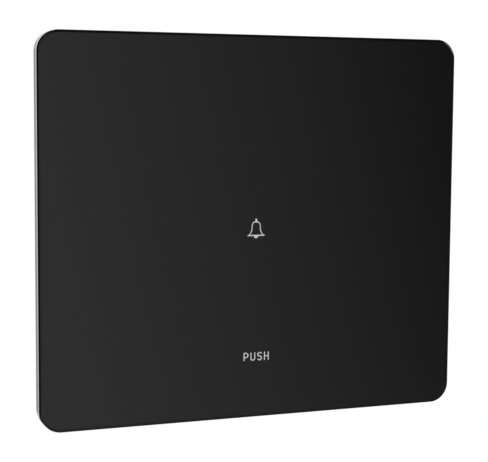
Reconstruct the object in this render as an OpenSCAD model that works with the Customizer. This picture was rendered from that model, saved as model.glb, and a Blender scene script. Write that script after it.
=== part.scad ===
// Doorbell push plate for a flush wall box.
// A black glass plate on a thin metal rim floats in front of a moulded base. The whole plate is the
// button: pressed anywhere, it slides straight in on four sprung posts and works a switch in the box.
// Drawn with x to the right, y up and z out of the wall, then turned so that the face looks along -Y.

/* [Front plate] */
// Width of the black glass
plate_w = 99; // [95:1:120]
// Height of the black glass
plate_h = 86; // [82:1:110]
// Radius of the plate's corners, seen from the front
plate_r = 4.5; // [4:0.5:8]
// Thickness of the glass
glass_t = 2; // [1:0.1:3]
// Chamfer along the front edge of the glass
glass_edge = 0.45; // [0.1:0.05:0.6]
// Thickness of the tape that bonds the glass
tape_t = 0.2; // [0.1:0.05:0.5]
// How far the tape stays back from the edge of the glass
tape_inset = 0.3; // [0.1:0.1:1]

/* [Rim] */
// Height of the metal rim, front to back
rim_h = 3; // [2.4:0.1:3.4]
// Wall of the rim's side
rim_wall = 1.3; // [1:0.1:2]
// Chamfer along the back edge of the rim
rim_edge = 0.25; // [0.1:0.05:0.5]
// Width of the ledge that carries the glass
ledge_w = 6; // [5:0.5:8]
// Thickness of that ledge
ledge_t = 0.8; // [0.6:0.1:1]
// Corner radius of the opening inside the ledge
ledge_r = 2; // [1:0.5:4]
// Length of the keys that locate the carrier in the ledge
key_l = 8; // [5:1:15]
// Depth of those keys
key_d = 1.5; // [1:0.25:2.5]

/* [Push action] */
// Travel of the plate when it is pressed
push_travel = 1; // [0.5:0.1:1.2]
// Gap that is left behind the carrier at the end of the travel
stop_gap = 0.3; // [0.2:0.05:0.6]
// Clearance between pieces that move past each other
slide_gap = 0.3; // [0.2:0.05:0.4]
// Clearance between pieces that are fixed together
fit_gap = 0.05; // [0.02:0.01:0.1]

/* [Carrier] */
// Thickness of the carrier behind the glass
carrier_t = 1.7; // [1.5:0.1:2.5]
// Depth of the cored pockets in the back of the carrier
core_depth = 0.7; // [0.4:0.1:0.9]
// Rib between two cored pockets
core_rib = 1.2; // [0.8:0.1:2]
// Solid border of the carrier round the cored pockets
core_border = 3; // [2:0.5:5]
// Number of cored pockets across each wing
core_columns = 2; // [1:1:3]
// Number of cored pockets up each wing
core_rows = 5; // [3:1:7]

/* [Guide posts] */
// Diameter of a guide post
post_d = 3.6; // [3:0.1:4]
// Radial running clearance of a post in its bush, and of the plunger in its switch
run_gap = 0.05; // [0.03:0.01:0.1]
// How far the snap barb stands out from the post
barb = 0.4; // [0.2:0.05:0.5]
// Length of the snap barb
barb_l = 2.2; // [1.6:0.1:3]
// Length of the barb that keeps its full width
barb_land = 0.55; // [0.3:0.05:0.8]
// Width of the split in the end of a post
split_w = 0.9; // [0.6:0.1:1.2]
// Length of the split in the end of a post
split_l = 5.5; // [4:0.5:7]
// Depth of the spring pocket behind the wall surface
pocket_depth = 5; // [4:0.5:7]
// Length of a guide bush below its flange
bush_l = 5; // [3:0.5:6]
// Wall of a guide bush
bush_wall = 0.75; // [0.5:0.05:0.9]
// Thickness of the flange of a bush
bush_flange_t = 1; // [0.6:0.1:1.5]
// Lead-in at the mouth of a bush
bush_lead = 0.2; // [0.1:0.05:0.25]
// Wall of the column round a bush
column_wall = 1.4; // [1:0.1:2]

/* [Return springs] */
// Wire of a return spring
spring_wire = 0.5; // [0.35:0.05:0.6]
// Clearance between a spring and its post
spring_gap = 0.3; // [0.2:0.05:0.5]
// Coils of a return spring
spring_turns = 6; // [4:1:7]

/* [Base] */
// Thickness of the base's floor
floor_t = 2; // [1.6:0.1:3]
// Gap between the base and the inside of the rim
base_gap = 2; // [1.2:0.1:2.6]
// Thickness of the lip round the base, and of the one inside the rear cover
lip_t = 1.4; // [1:0.1:2]
// Depth of the relief in the back of the floor
relief_depth = 0.7; // [0.3:0.1:0.9]
// Width of the band round the base that lies on the wall
band_w = 6; // [4:0.5:8]
// Width of a rib in the relief
relief_rib = 1.4; // [1:0.1:2.5]
// Number of ribs across the relief, each way
relief_ribs = 3; // [1:2:5]
// Spacing of the wall box screws
screw_pitch = 60.3; // [60:0.1:64]
// Width of a wall box screw slot
slot_w = 4.2; // [3.6:0.1:5]
// Length of a wall box screw slot
slot_l = 8; // [6:0.5:9]
// Diameter of a wall box screw's head
wall_head_d = 7.5; // [6:0.5:9]
// Diameter of a silicone bumper
bumper_d = 5; // [4:0.5:7]
// Depth of the bumper's seat in the floor
bumper_seat = 0.8; // [0.5:0.1:1]
// Distance from a bumper to the edge of the base
bumper_inset = 8; // [6:0.5:11]
// Chamfer round the top of a bumper
bumper_edge = 0.4; // [0.1:0.1:0.6]

/* [Switch chamber] */
// Width of the chamber that goes into the wall box
chamber_w = 46; // [45:0.5:50]
// Height of that chamber
chamber_h = 46; // [45:0.5:50]
// Corner radius of the chamber
chamber_r = 3; // [2:0.5:5]
// Depth of the chamber behind the wall
chamber_d = 22; // [21:0.5:30]
// Wall of the chamber
chamber_wall = 2; // [1.5:0.1:2.5]
// Thickness of the rear cover
cover_t = 2; // [1.5:0.1:2.5]
// Height of the locating lip inside the rear cover
cover_lip_h = 1.5; // [1:0.25:2.5]
// Chamfer round the back of the rear cover
cover_edge = 0.6; // [0.2:0.1:1]
// Thickness of the ribs inside the rear cover
cover_rib = 1.2; // [0.8:0.1:2]
// Diameter of a cover screw
cover_screw_d = 2.2; // [2:0.1:2.6]
// Diameter of a cover screw's head
cover_head_d = 4.2; // [3.6:0.1:4.4]
// Length of a cover screw
cover_screw_l = 8; // [6:0.5:12]
// Wall round a screw in its post
post_wall = 1.3; // [1:0.1:1.6]
// Distance between the cover screws of one side
cover_screw_pitch = 14; // [12:0.5:15]

/* [Circuit board] */
// Thickness of the board
board_t = 1.6; // [1:0.2:2]
// Distance between the board screws
board_screw_pitch = 25; // [24:0.5:26]
// Diameter of a board screw
board_screw_d = 2; // [1.6:0.1:2.2]
// Length of a board screw
board_screw_l = 7; // [5:0.5:8]
// Diameter of a board screw's head
board_head_d = 3.8; // [3:0.1:4.4]
// Height of a board screw's head
board_head_h = 1.3; // [1:0.1:1.6]

/* [Switch] */
// Height of the switch above the centre of the plate
switch_y = 11; // [10:0.25:12]
// Side of the switch
switch_side = 12; // [10:0.5:12]
// Corner radius of the switch
switch_r = 1; // [0.5:0.25:2]
// Height of the switch's body
switch_h = 4.8; // [4.6:0.1:6]
// Floor of the switch's body, under the plunger's spring
switch_floor = 0.8; // [0.6:0.1:1]
// Thickness of the switch's steel cover
switch_cover_t = 0.4; // [0.3:0.05:0.6]
// Diameter of the switch's plunger
plunger_d = 5; // [4:0.25:6]
// How far the plunger stands out of the switch
plunger_proud = 2.2; // [1.6:0.1:3]
// Chamfer round the end of the plunger
plunger_edge = 0.4; // [0.2:0.1:0.6]
// How far the plunger's shoulder reaches under the cover
shoulder_w = 1; // [0.6:0.1:1.2]
// Thickness of the plunger's shoulder
shoulder_t = 0.8; // [0.6:0.1:1]
// Wire of the plunger's spring
plunger_wire = 0.4; // [0.3:0.05:0.45]
// Coils of the plunger's spring
plunger_turns = 3; // [2:1:3]
// Thickness of the contact disc under the plunger
contact_t = 0.3; // [0.2:0.05:0.5]
// Distance from a fixed contact to the edge of the contact disc
contact_edge = 0.2; // [0.1:0.05:0.4]
// Diameter of a fixed contact
stud_d = 1.2; // [0.8:0.1:1.4]
// Diameter of the boss on the carrier that works the plunger
actuator_d = 6; // [5:0.25:7]
// Diameter of a pin of the switch
switch_pin_d = 1; // [0.8:0.1:1.2]
// Distance from a pin of the switch to the switch's side
switch_pin_inset = 1.2; // [0.8:0.1:2]
// Distance between the two pins on one side of the switch
switch_pin_pitch = 5; // [4:0.25:6]

/* [Light] */
// Distance from the centre of the plate down to the lamp
lamp_drop = 9; // [8.5:0.25:10]
// Length of the lamp
lamp_l = 3.5; // [3:0.1:4]
// Width of the lamp
lamp_w = 2.8; // [2.4:0.1:3]
// Height of the lamp
lamp_h = 1.9; // [1.2:0.1:2.2]
// Border of the lamp's case round its window
lamp_border = 0.2; // [0.1:0.05:0.4]
// Depth of the lamp's window
lamp_dish = 0.5; // [0.2:0.1:0.8]
// Diameter of the light pipe
pipe_d = 5; // [4.5:0.25:6]
// Wall of the well round the light pipe
well_wall = 1.3; // [1:0.1:1.6]
// Room between the lamp and the light pipe when the plate is pressed
lamp_room = 1.5; // [0.5:0.25:2]
// Thickness of the light guide behind the glass
light_t = 1; // [0.8:0.1:1.1]
// Width of the light guide
light_w = 12; // [9:0.5:14]
// Corner radius of the light guide
light_r = 3; // [1:0.5:4]
// Distance from the centre of the plate up to the top of the light guide
light_top = 6; // [4:0.5:8]
// Distance from the centre of the plate down to the foot of the light guide
light_foot = 33; // [30:0.5:34]
// How far the tape overlaps the edge of the light guide
light_lap = 1; // [0.5:0.25:2]

/* [Lamp circuit] */
// Length of a chip resistor
chip_l = 3.2; // [2:0.1:3.6]
// Width of a chip resistor
chip_w = 1.6; // [1.2:0.1:2]
// Height of a chip resistor
chip_h = 0.6; // [0.4:0.05:0.8]
// Distance between the two chip resistors
chip_pitch = 15; // [14:0.5:18]
// Distance from the terminals' solder pins up to the chip resistors
chip_rise = 1.5; // [1:0.25:2.5]
// Length of the rectifier's body
bridge_l = 4.8; // [4:0.1:5]
// Width of the rectifier's body
bridge_w = 4; // [3.5:0.1:4.5]
// Height of the rectifier's body
bridge_h = 2.4; // [1.5:0.1:3]
// Distance from the lamp out to the rectifier
bridge_x = 9.2; // [8.6:0.1:9.8]
// Width of a lead of the rectifier
lead_w = 0.6; // [0.4:0.05:0.8]
// Reach of a lead of the rectifier past its body
lead_l = 1; // [0.6:0.1:1.2]
// Thickness of a lead of the rectifier
lead_t = 0.4; // [0.2:0.05:0.5]
// Distance between the two leads on one side of the rectifier
lead_pitch = 2.5; // [2:0.1:2.6]

/* [Terminals] */
// Distance between the two terminals
terminal_pitch = 7.6; // [7:0.1:8.4]
// Wall of the terminal block
block_wall = 1; // [0.8:0.1:1.5]
// Floor of the terminal block, against the board
block_floor = 0.6; // [0.5:0.1:1.2]
// Width of a wire entry
entry_w = 4.4; // [3.5:0.1:4.8]
// Depth of a wire entry, front to back
entry_d = 4.2; // [3:0.1:4.4]
// Length of a wire entry, from the foot of the block to its clamp
entry_l = 3.2; // [2:0.1:4]
// How far a wire entry's mouth is widened
entry_flare = 0.6; // [0.3:0.1:0.9]
// Length of a cage clamp along its wire
clamp_l = 7.6; // [6:0.1:8]
// Wall of a cage clamp
clamp_wall = 0.6; // [0.4:0.05:0.8]
// Thickness of the cage clamp's threaded wall
clamp_thread = 2; // [1.5:0.1:2.4]
// Diameter of a clamp's solder pin
pin_d = 1.2; // [0.8:0.1:1.4]
// How far a solder pin stands out of the board
pin_proud = 1; // [0.5:0.1:1.5]
// Diameter of a terminal screw
terminal_screw_d = 3; // [2.5:0.1:3.2]
// Length of a terminal screw's thread
terminal_screw_l = 3.2; // [2.4:0.1:4]
// Diameter of a terminal screw's head
terminal_head_d = 4; // [3.6:0.1:4.4]
// Height of a terminal screw's head
terminal_head_h = 1.8; // [1.4:0.1:2.2]
// Depth of a terminal screw's head below the back of the block
terminal_sink = 0.6; // [0.3:0.1:1]
// How far a terminal screw is turned out of its clamp
terminal_open = 0.5; // [0.2:0.1:1]

/* [Screw drives] */
// Depth of the driver recess in every screw's head
driver_depth = 0.8; // [0.5:0.1:1]
// Width of the driver slot in a terminal screw
driver_slot = 0.7; // [0.5:0.1:1]
// Span of the cross recess in the screws of the cover and the board
cross_l = 2.4; // [1.6:0.1:2.4]
// Width of a blade of that recess
cross_w = 0.55; // [0.4:0.05:0.7]

/* [Hidden] */
$fn = 64;
join = 0.01;               // overlap that joins the pieces of one moulding
past = 1;                  // how far a cut runs past the face that it opens

// Levels in front of the wall, from the wall out
z_carrier_back = floor_t + stop_gap + push_travel;
z_seat = z_carrier_back + carrier_t;
z_ledge_back = z_seat - ledge_t;
z_rim_back = z_seat - rim_h;
z_glass_back = z_seat + tape_t;
z_face = z_glass_back + glass_t;
z_lip = z_ledge_back - push_travel - stop_gap;
z_light_back = z_seat - light_t;
z_bumper = floor_t - bumper_seat;
z_bumper_top = floor_t + stop_gap - fit_gap;

// Levels in the wall box, from its back out
z_back = -chamber_d;
z_cover = z_back + cover_t;
z_terminal_head = z_back + terminal_sink;
z_terminal_neck = z_terminal_head + terminal_head_h;
z_clamp_back = z_terminal_neck + terminal_open;
z_clamp_open = z_clamp_back + clamp_thread;
z_clamp_wall = z_clamp_open + entry_d;
z_clamp_front = z_clamp_wall + clamp_wall;
z_board_back = z_clamp_front + block_floor;
z_board = z_board_back + board_t;
z_switch_floor = z_board + switch_floor;
z_switch_top = z_board + switch_h;
z_switch_cover = z_switch_top + switch_cover_t;
z_shoulder = z_switch_top - fit_gap - shoulder_t;
z_contact = z_shoulder - contact_t - push_travel - fit_gap;
z_plunger = z_switch_cover + plunger_proud;
z_lamp = z_board + lamp_h;
z_pipe = z_lamp + lamp_room + push_travel;
z_pocket = -pocket_depth;
z_bush_flange = z_pocket + bush_flange_t;
z_bush_end = z_pocket - bush_l;
z_barb = z_bush_end - fit_gap;
z_tip = z_barb - barb_l;

// Outlines, seen from the front
inner_w = plate_w - 2 * rim_wall;
inner_h = plate_h - 2 * rim_wall;
inner_r = plate_r - rim_wall;
open_w = inner_w - 2 * ledge_w;
open_h = inner_h - 2 * ledge_w;
base_w = inner_w - 2 * base_gap;
base_h = inner_h - 2 * base_gap;
small_r = 0.6;             // least corner radius of an inner outline
base_r = max(small_r, inner_r - base_gap);
tray_w = base_w - 2 * lip_t;
tray_h = base_h - 2 * lip_t;
room_w = chamber_w - 2 * chamber_wall;
room_h = chamber_h - 2 * chamber_wall;
room_r = max(small_r, chamber_r - chamber_wall);
cover_lip_w = room_w - 2 * slide_gap;
cover_lip_l = room_h - 2 * slide_gap;

// Guide posts, with their bushes, springs and columns
bush_bore = post_d + 2 * run_gap;
bush_d = bush_bore + 2 * bush_wall;
spring_d = post_d + 2 * spring_gap + spring_wire;
spring_pocket_d = spring_d + spring_wire + 2 * slide_gap;
column_d = spring_pocket_d + 2 * column_wall;
wall_bite = 0.6;           // how far a round post is let into the chamber's wall
post_x = room_w / 2 - column_d / 2 + wall_bite;
post_y = room_h / 2 - column_d / 2 + wall_bite;
POSTS = [for (x = [-1, 1], y = [-1, 1]) [x * post_x, y * post_y]];

// Screws, contacts, pins and bumpers
cover_post_d = cover_screw_d + 2 * post_wall;
board_post_d = board_screw_d + 2 * post_wall;
cover_post_x = room_w / 2 - cover_post_d / 2 + wall_bite;
cover_head_h = (cover_head_d - cover_screw_d) / 2;
bumper_x = base_w / 2 - bumper_inset;
bumper_y = base_h / 2 - bumper_inset;
COVER_SCREWS = [for (x = [-1, 1], y = [-1, 1]) [x * cover_post_x, y * cover_screw_pitch / 2]];
BOARD_SCREWS = [for (x = [-1, 1]) [x * board_screw_pitch / 2, 0]];
contact_d = plunger_d - plunger_wire - 2 * slide_gap;
stud_x = contact_d / 2 - contact_edge - stud_d / 2;
STUDS = [for (x = [-1, 1]) [x * stud_x, switch_y]];
switch_pin_x = switch_side / 2 - switch_pin_inset;
SWITCH_PINS = [for (x = [-1, 1], y = [-1, 1]) [x * switch_pin_x, switch_y + y * switch_pin_pitch / 2]];
WALL_SCREWS = [for (x = [-1, 1]) [x * screw_pitch / 2, 0]];
BUMPERS = [for (x = [-1, 1], y = [-1, 1]) [x * bumper_x, y * bumper_y]];

// Terminal block, at the foot of the chamber
clamp_w = entry_w + 2 * clamp_wall;
block_w = terminal_pitch + clamp_w + 2 * fit_gap + 2 * block_wall;
block_h = entry_l + clamp_l + 2 * fit_gap + block_wall;
block_foot = -chamber_h / 2;
clamp_y = block_foot + entry_l + fit_gap + clamp_l / 2;
TERMINALS = [for (x = [-1, 1]) [x * terminal_pitch / 2, clamp_y]];

// Turns the drawing so that z, out of the wall, becomes -Y and y becomes up
module on_wall() rotate([90, 0, 0]) children();

// A copy of one shape at each of several places
module at(places) for (p = places) translate(p) children();

// A rectangle with round corners, about the origin
module rounded(w, h, r) {
    square([w - 2 * r, h], center = true);
    square([w, h - 2 * r], center = true);
    for (x = [-1, 1], y = [-1, 1])
        translate([x * (w / 2 - r), y * (h / 2 - r)]) circle(r);
}

// A slot with round ends, along x
module slot(l, w) {
    square([l - w, w], center = true);
    for (x = [-1, 1]) translate([x * (l - w) / 2, 0]) circle(d = w);
}

// A prism of a flat outline between two levels
module between(z0, z1) translate([0, 0, z0]) linear_extrude(z1 - z0) children();

// A cylinder between two levels
module round_between(z0, z1, d) translate([0, 0, z0]) cylinder(h = z1 - z0, d = d);

// The tapered layer of a chamfered plate: full outline at z = 0, narrowed by c at z = c
module chamfer_layer(w, h, r, c) {
    rotate([90, 0, 90]) linear_extrude(w - 2 * r, center = true)
        polygon([[-h / 2, 0], [h / 2, 0], [h / 2 - c, c], [c - h / 2, c]]);
    rotate([90, 0, 0]) linear_extrude(h - 2 * r, center = true)
        polygon([[-w / 2, 0], [w / 2, 0], [w / 2 - c, c], [c - w / 2, c]]);
    for (x = [-1, 1], y = [-1, 1])
        translate([x * (w / 2 - r), y * (h / 2 - r), 0]) cylinder(h = c, r1 = r, r2 = r - c);
}

// A rounded plate between two levels, with a chamfer round its back
module chamfered_back(z0, z1, w, h, r, c) {
    between(z0 + c, z1) rounded(w, h, r);
    translate([0, 0, z0 + c]) mirror([0, 0, 1]) chamfer_layer(w, h, r, c);
}

// A cylinder between two levels, with a chamfer round its upper end
module blunt_between(z0, z1, d, c) {
    round_between(z0, z1 - c, d);
    translate([0, 0, z1 - c]) cylinder(h = c, d1 = d, d2 = d - 2 * c);
}

// A coil spring: one unbroken wire, swept along a helix between the levels of its two ends
module coil(mean_d, wire, z0, z1, turns) {
    steps = 8;
    sides = 6;
    rings = turns * steps;
    rise = z1 - z0 - wire;
    slope = atan(rise / (turns * PI * mean_d));
    centres = [for (i = [0:rings]) let (a = 360 * i / steps)
        [mean_d / 2 * cos(a), mean_d / 2 * sin(a), z0 + wire / 2 + rise * i / rings]];
    points = [for (i = [0:rings], k = [0:sides - 1])
        let (a = 360 * i / steps, p = 360 * k / sides, out = wire / 2 * cos(p), up = wire / 2 * sin(p))
        centres[i] + [out * cos(a) + up * sin(slope) * sin(a), out * sin(a) - up * sin(slope) * cos(a),
            up * cos(slope)]];
    walls = [for (i = [0:rings - 1], k = [0:sides - 1])
        let (a = i * sides + k, b = i * sides + (k + 1) % sides)
        each [[a, b, b + sides], [a, b + sides, a + sides]]];
    last = rings * sides;
    ends = [for (k = [1:sides - 2]) each [[0, k + 1, k], [last, last + k, last + k + 1]]];
    gaps = [for (i = [0:rings], j = [i:rings]) if (j - i >= steps / 2)
        norm(centres[i] - centres[j]) - wire];
    echo(least_gap_between_coils = min(gaps));
    polyhedron(points, concat(walls, ends));
}

// The cut of a cross-head driver, into a head whose face looks backwards at the level z
module cross_recess(z)
    between(z - past, z + driver_depth)
        for (a = [0, 90]) rotate(a) square([cross_l, cross_w], center = true);

// The outline of the light guide, grown by a gap
module light_outline(gap)
    translate([0, (light_top - light_foot) / 2])
        rounded(light_w + 2 * gap, light_top + light_foot + 2 * gap, light_r + gap);

// The keys of the ledge's opening, one in the middle of each side, drawn in by a gap
module ledge_keys(gap) {
    for (s = [-1, 1]) {
        translate([s * open_w / 2, 0]) square([2 * (key_d - gap), key_l - 2 * gap], center = true);
        translate([0, s * open_h / 2]) square([key_l - 2 * gap, 2 * (key_d - gap)], center = true);
    }
}

// The plate that a finger presses: toughened glass, black behind, with a chamfered front edge
module front_glass() color("#15161a") {
    between(z_glass_back, z_face - glass_edge) rounded(plate_w, plate_h, plate_r);
    translate([0, 0, z_face - glass_edge]) chamfer_layer(plate_w, plate_h, plate_r, glass_edge);
}

// Double-sided tape over the ledge and the carrier, open over the light guide
module bonding_tape() color("#0b0b0c")
    between(z_seat, z_glass_back) difference() {
        rounded(plate_w - 2 * tape_inset, plate_h - 2 * tape_inset, plate_r - tape_inset);
        light_outline(-light_lap);
    }

// The bright metal rim: a low side wall with a keyed ledge under the glass
module rim_frame() color("#c9cbce") difference() {
    chamfered_back(z_rim_back, z_seat, plate_w, plate_h, plate_r, rim_edge);
    between(z_rim_back - past, z_ledge_back) rounded(inner_w, inner_h, inner_r);
    between(z_rim_back - past, z_seat + past) {
        rounded(open_w, open_h, ledge_r);
        ledge_keys(0);
    }
}

// One guide post with its split snap end
module guide_post() {
    r = post_d / 2;
    root = z_carrier_back + join;
    difference() {
        rotate_extrude() polygon([[0, root], [r, root], [r, z_barb], [r + barb, z_barb],
            [r + barb, z_barb - barb_land], [r - barb, z_tip], [0, z_tip]]);
        between(z_tip - past, z_tip + split_l) square([split_w, 2 * post_d], center = true);
    }
}

// The cored pockets in the two wings of the carrier, either side of the light guide
module carrier_cores() {
    x0 = light_w / 2 + core_border;
    wing_w = open_w / 2 - core_border - x0;
    wing_h = open_h - 2 * core_border;
    cell_w = (wing_w + core_rib) / core_columns;
    cell_h = (wing_h + core_rib) / core_rows;
    for (s = [-1, 1], i = [0:core_columns - 1], j = [0:core_rows - 1]) {
        x = x0 + (i + 0.5) * cell_w - core_rib / 2;
        y = (j + 0.5) * cell_h - (wing_h + core_rib) / 2;
        translate([s * x, y]) square([cell_w - core_rib, cell_h - core_rib], center = true);
    }
}

// The carrier's plate: a thick middle that fills the ledge's opening, on a flange that grips the ledge
module carrier_plate() difference() {
    union() {
        between(z_carrier_back, z_ledge_back)
            rounded(tray_w - 2 * slide_gap, tray_h - 2 * slide_gap, ledge_r);
        between(z_carrier_back, z_seat) {
            rounded(open_w - 2 * fit_gap, open_h - 2 * fit_gap, ledge_r);
            ledge_keys(fit_gap);
        }
    }
    between(z_light_back - fit_gap, z_seat + past) light_outline(fit_gap);
    translate([0, -lamp_drop]) round_between(z_carrier_back - past, z_seat, pipe_d + 2 * fit_gap);
    difference() {
        between(z_carrier_back - past, z_carrier_back + core_depth) carrier_cores();
        at(POSTS) round_between(0, z_seat, column_d);
    }
    at(WALL_SCREWS) between(z_carrier_back - past, z_seat + past)
        rounded(wall_head_d + slot_l - slot_w + 2 * slide_gap, wall_head_d + 2 * slide_gap, ledge_r);
}

// The moulded carrier behind the glass, with its guide posts and the boss that works the switch
module key_carrier() color("#242628") {
    carrier_plate();
    at(POSTS) guide_post();
    translate([0, switch_y]) round_between(z_plunger, z_carrier_back + join, actuator_d);
}

// The clear guide that spreads the lamp's light behind the symbol and the legend
module light_guide() color("#e8eef0") {
    between(z_light_back, z_seat) light_outline(0);
    translate([0, -lamp_drop]) round_between(z_pipe, z_light_back + join, pipe_d);
}

// The pockets of the relief in the back of the base
module relief() difference() {
    rounded(base_w - 2 * band_w, base_h - 2 * band_w, ledge_r);
    rounded(chamber_w + 2 * relief_rib, chamber_h + 2 * relief_rib, chamber_r + relief_rib);
    at(WALL_SCREWS) rounded(wall_head_d + slot_l, 2 * wall_head_d, ledge_r);
    at(BUMPERS) circle(d = bumper_d + 2 * relief_rib);
    middle = (relief_ribs - 1) / 2;
    for (i = [0:relief_ribs - 1]) {
        x = (i - middle) * chamber_w / relief_ribs;
        y = (i - middle) * chamber_h / relief_ribs;
        translate([x, 0]) square([relief_rib, base_h], center = true);
        translate([0, y]) square([base_w, relief_rib], center = true);
    }
}

// The terminal block's place, open at the foot of the chamber, grown by a gap
module block_outline(gap)
    translate([-block_w / 2 - gap, block_foot - gap]) square([block_w + 2 * gap, block_h + 2 * gap]);

// The low tray in front of the wall
module base_tray() {
    between(0, floor_t) rounded(base_w, base_h, base_r);
    between(0, z_lip) difference() {
        rounded(base_w, base_h, base_r);
        rounded(tray_w, tray_h, max(small_r, base_r - lip_t));
    }
}

// The chamber behind the wall: its walls, and the columns and posts that stand in it
module base_chamber() {
    between(z_cover, join) difference() {
        rounded(chamber_w, chamber_h, chamber_r);
        rounded(room_w, room_h, room_r);
    }
    intersection() {
        union() {
            at(POSTS) round_between(z_bush_end, join, column_d);
            at(COVER_SCREWS) round_between(z_cover, join, cover_post_d);
        }
        between(z_cover, join) rounded(chamber_w - chamber_wall, chamber_h - chamber_wall, room_r);
    }
    at(BOARD_SCREWS) round_between(z_board, join, board_post_d);
    translate([0, -lamp_drop]) round_between(z_lamp, join, pipe_d + 2 * slide_gap + 2 * well_wall);
}

// The moulded base, with its pockets, bores and slots
module base_housing() color("#3a3c40") difference() {
    union() {
        base_tray();
        base_chamber();
    }
    between(-past, relief_depth) relief();
    at(WALL_SCREWS) between(-past, floor_t + past) slot(slot_l, slot_w);
    at(BUMPERS) round_between(z_bumper, floor_t + past, bumper_d);
    at(POSTS) round_between(z_pocket, floor_t + past, spring_pocket_d);
    at(POSTS) round_between(z_bush_end - past, z_pocket + join, bush_d + 2 * fit_gap);
    translate([0, switch_y]) round_between(-past, floor_t + past, actuator_d + 2 * slide_gap);
    translate([0, -lamp_drop]) round_between(z_board, floor_t + past, pipe_d + 2 * slide_gap);
    at(COVER_SCREWS) round_between(z_back, z_back + cover_screw_l + past, cover_screw_d + 2 * fit_gap);
    at(BOARD_SCREWS)
        round_between(z_board - past, z_board_back + board_screw_l + past, board_screw_d + 2 * fit_gap);
    between(z_back, z_board_back + slide_gap) block_outline(slide_gap);
}

// Four flanged plastic bushes that guide the posts and seat the springs
module guide_bushes() color("#ece9e0") at(POSTS) difference() {
    union() {
        round_between(z_pocket, z_bush_flange, spring_pocket_d - 2 * fit_gap);
        round_between(z_bush_end, z_pocket + join, bush_d);
    }
    round_between(z_bush_end - past, z_bush_flange + past, bush_bore);
    translate([0, 0, z_bush_flange - bush_lead])
        cylinder(h = bush_lead + join, d1 = bush_bore, d2 = bush_bore + 2 * bush_lead);
}

// Four return springs, each round its own post
module return_springs() color("#b8bbc0") at(POSTS)
    coil(spring_d, spring_wire, z_bush_flange, z_carrier_back, spring_turns);

// Four silicone bumpers that stop the carrier softly
module bumpers() color("#8d9196") at(BUMPERS)
    blunt_between(z_bumper, z_bumper_top, bumper_d - 2 * fit_gap, bumper_edge);

// The locating lip inside the rear cover, with a cross of ribs between its sides
module cover_lip() {
    difference() {
        rounded(cover_lip_w, cover_lip_l, room_r);
        rounded(cover_lip_w - 2 * lip_t, cover_lip_l - 2 * lip_t, room_r);
    }
    square([cover_lip_w - lip_t, cover_rib], center = true);
    square([cover_rib, cover_lip_l - lip_t], center = true);
}

// The cover at the back of the chamber, notched for the terminal block
module rear_cover() color("#3a3c40") difference() {
    union() {
        chamfered_back(z_back, z_cover, chamber_w, chamber_h, chamber_r, cover_edge);
        between(z_cover - join, z_cover + cover_lip_h) cover_lip();
    }
    at(COVER_SCREWS) {
        round_between(z_back - past, z_cover + cover_lip_h + past, cover_screw_d + 2 * fit_gap);
        round_between(z_cover, z_cover + cover_lip_h + past, cover_post_d + 2 * slide_gap);
        translate([0, 0, z_back])
            cylinder(h = cover_head_h, d1 = cover_head_d + 2 * fit_gap, d2 = cover_screw_d + 2 * fit_gap);
    }
    between(z_back - past, z_cover + cover_lip_h + past) block_outline(slide_gap);
}

// Countersunk screws that hold the rear cover
module cover_screws() color("#c4c4bd") at(COVER_SCREWS) difference() {
    union() {
        translate([0, 0, z_back]) cylinder(h = cover_head_h, d1 = cover_head_d, d2 = cover_screw_d);
        round_between(z_back, z_back + cover_screw_l, cover_screw_d);
    }
    cross_recess(z_back);
}

// The glass-fibre board: a cross that clears the guide columns and the cover's posts
module circuit_board() color("#1f6b3f") difference() {
    between(z_board_back, z_board) {
        square([2 * post_x - column_d - 2 * slide_gap, room_h - 2 * slide_gap], center = true);
        square([2 * cover_post_x - cover_post_d - 2 * slide_gap, 2 * post_y - column_d - 2 * slide_gap],
            center = true);
    }
    at(BOARD_SCREWS) round_between(z_board_back - past, z_board + past, board_screw_d + 2 * slide_gap);
    at(TERMINALS) round_between(z_board_back - past, z_board + past, pin_d + 2 * fit_gap);
    at(SWITCH_PINS) round_between(z_board_back - past, z_board + past, switch_pin_d + 2 * fit_gap);
}

// Pan-head screws that hold the board to its posts
module board_screws() color("#c4c4bd") at(BOARD_SCREWS) difference() {
    union() {
        round_between(z_board_back - board_head_h, z_board_back, board_head_d);
        round_between(z_board_back - join, z_board_back + board_screw_l, board_screw_d);
    }
    cross_recess(z_board_back - board_head_h);
}

// The switch: a square body with a well for the plunger and its spring
module switch_body() color("#1a1a1c") translate([0, switch_y]) difference() {
    between(z_board, z_switch_top) rounded(switch_side, switch_side, switch_r);
    round_between(z_switch_floor, z_switch_top + past, plunger_d + 2 * shoulder_w + 2 * run_gap);
}

// The switch's steel cover, whose hole keeps the plunger's shoulder in
module switch_cover() color("#c9cbce") translate([0, switch_y])
    between(z_switch_top, z_switch_cover) difference() {
        rounded(switch_side, switch_side, switch_r);
        circle(d = plunger_d + 2 * run_gap);
    }

// The plunger: a stem with a shoulder that lies under the cover
module switch_plunger() color("#d8d5cc") translate([0, switch_y]) {
    blunt_between(z_shoulder, z_plunger, plunger_d, plunger_edge);
    round_between(z_shoulder, z_shoulder + shoulder_t, plunger_d + 2 * shoulder_w);
}

// The spring under the plunger
module plunger_spring() color("#b8bbc0") translate([0, switch_y])
    coil(plunger_d, plunger_wire, z_switch_floor, z_shoulder, plunger_turns);

// The disc riveted under the plunger, which joins the two fixed contacts when it comes down
module contact_disc() color("#d4d0c4") translate([0, switch_y])
    round_between(z_shoulder - contact_t, z_shoulder, contact_d);

// The two fixed contacts, on the floor of the switch's body inside the spring
module contact_studs() color("#d4d0c4") at(STUDS)
    round_between(z_switch_floor, z_contact, stud_d);

// Four tinned pins that are soldered into the board under the switch
module switch_pins() color("#c9cbce") at(SWITCH_PINS)
    round_between(z_board_back - pin_proud, z_board, switch_pin_d);

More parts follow.
